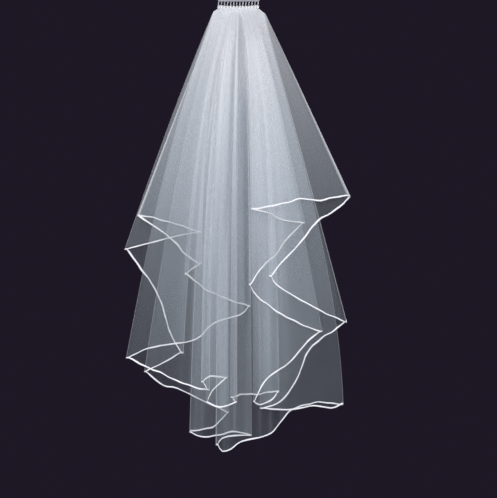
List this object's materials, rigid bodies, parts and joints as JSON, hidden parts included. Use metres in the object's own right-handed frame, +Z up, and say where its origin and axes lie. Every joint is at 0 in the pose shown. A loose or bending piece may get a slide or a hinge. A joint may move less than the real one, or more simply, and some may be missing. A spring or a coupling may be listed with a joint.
{
  "type": "bridal veil",
  "caption": "Soft two-tier bridal veil of sheer white net, gathered onto a small comb, with a narrow satin ribbon along each wavy hem.",
  "frame": {"origin": "at the comb, in the middle of the gathered heading that is sewn to it", "axes": "+X across the veil, to the right as seen from the front; -Y the front, where the shorter tier falls; +Z up along the comb's teeth and the hang of the veil"},
  "size_m": [0.4177, 0.224, 0.8406],
  "materials": {
    "soft_net": "sheer soft white net",
    "satin_ribbon": "white satin ribbon",
    "clear_comb": "clear grey plastic"
  },
  "bodies": {
    "root": {"comb": "clear_comb", "heading": "soft_net", "gathers": "soft_net", "upper_tier": "soft_net", "lower_tier": "soft_net", "upper_ribbon": "satin_ribbon", "lower_ribbon": "satin_ribbon"}
  },
  "joints": []
}
